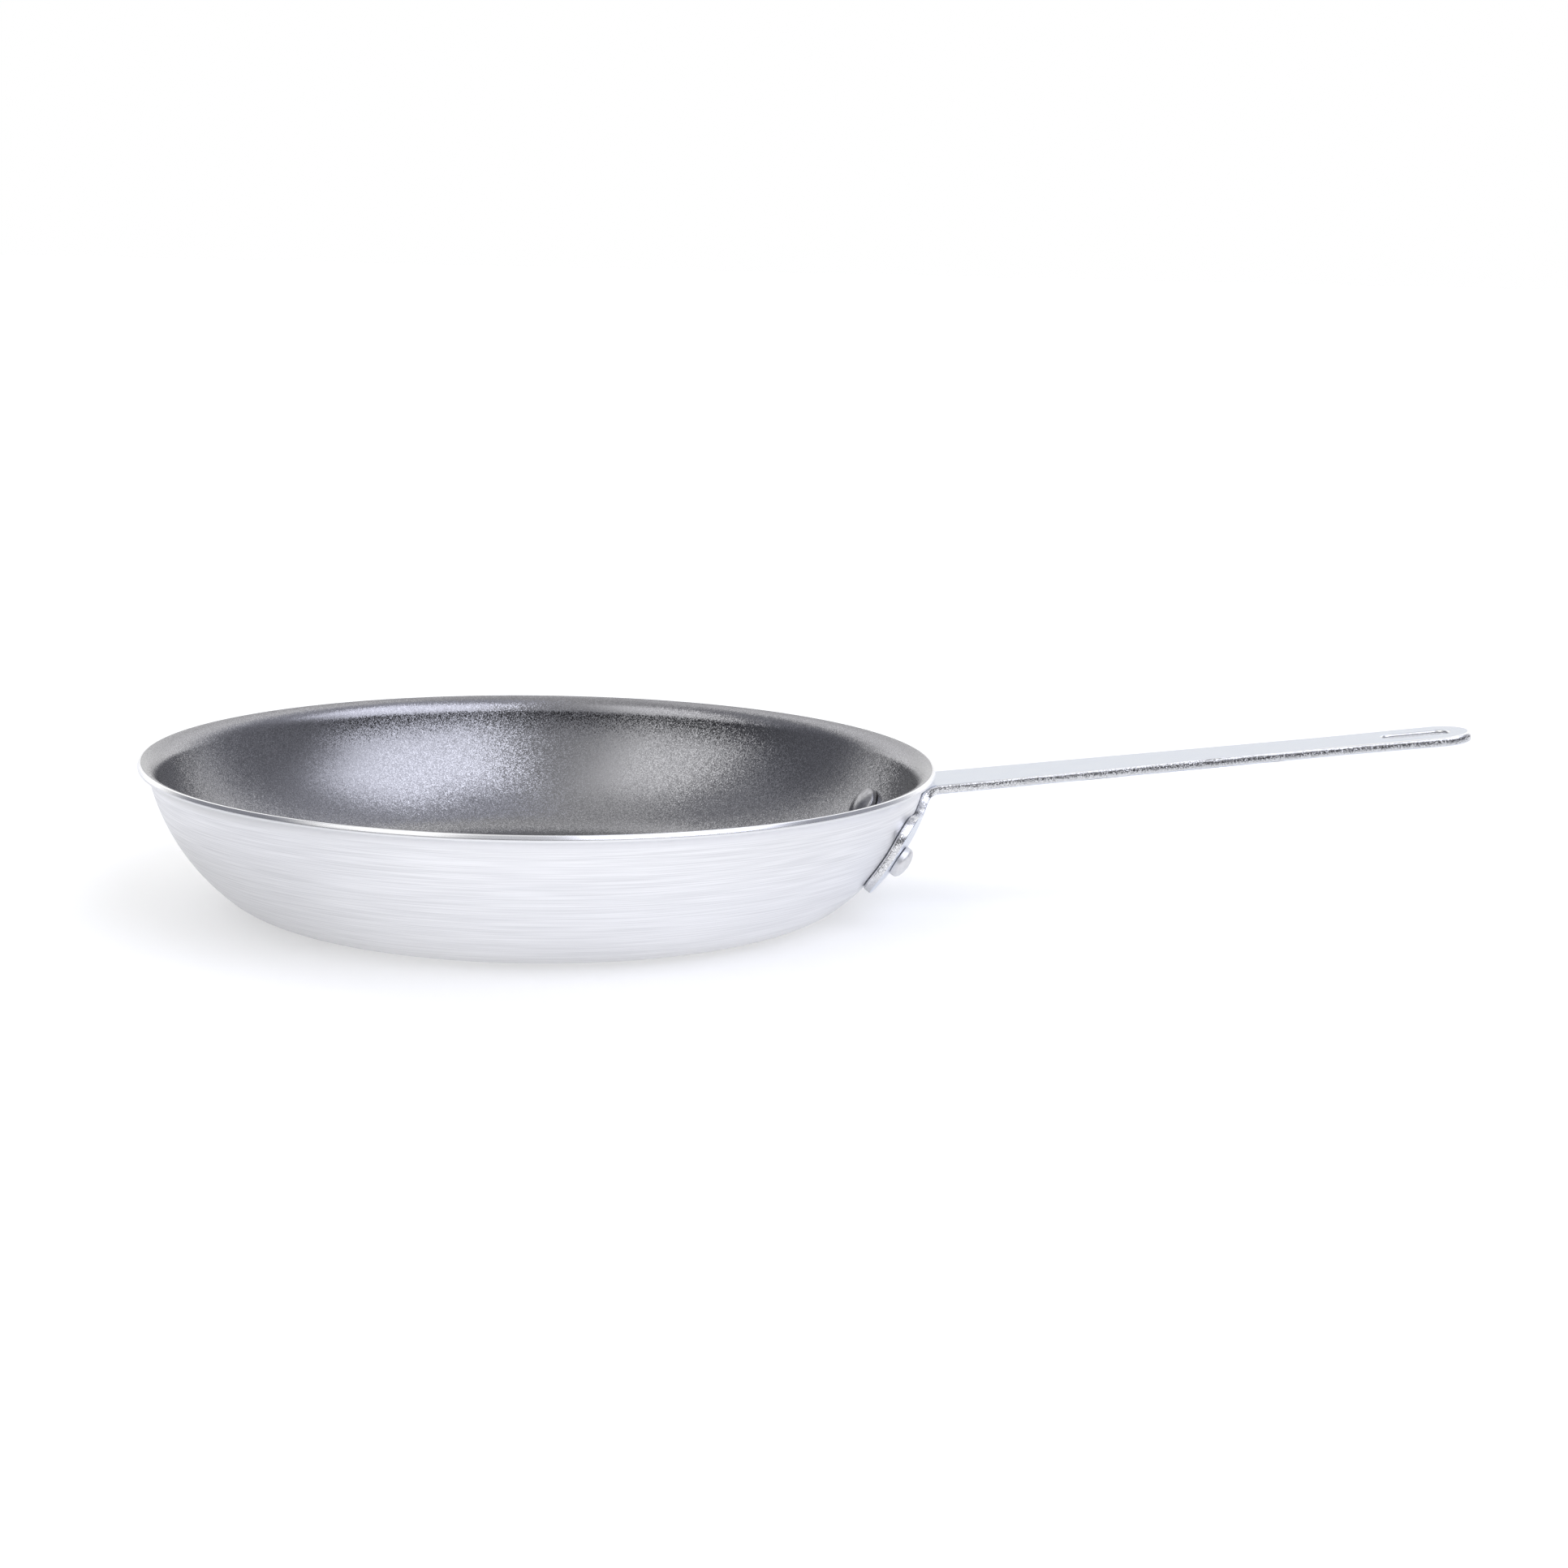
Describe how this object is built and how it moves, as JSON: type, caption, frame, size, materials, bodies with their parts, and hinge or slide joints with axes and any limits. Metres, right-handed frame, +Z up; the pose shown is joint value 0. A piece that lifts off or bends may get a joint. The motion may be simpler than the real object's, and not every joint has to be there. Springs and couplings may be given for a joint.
{
  "type": "frying pan",
  "caption": "Shallow round frying pan with a flared lip, a dark non-stick lining and a riveted flat strap handle that rises slightly and has a hanging slot.",
  "frame": {"origin": "middle of the underside of the base", "axes": "+Z up, out of the open side of the pan; +X along the handle from the pan towards its tip; +Y across the handle"},
  "size_m": [0.5178, 0.3064, 0.0722],
  "materials": {
    "body_aluminium": "fine brushing round the axis, polished lip edge",
    "nonstick": "satin dark grey with fine bright flecks",
    "plated_steel": "smooth satin plating with rough sheared edges",
    "rivet_aluminium": "matte"
  },
  "bodies": {
    "root": {"pan_body": "body_aluminium", "nonstick_lining": "nonstick", "handle": "plated_steel", "rivet_near": "rivet_aluminium", "rivet_far": "rivet_aluminium"}
  },
  "joints": []
}
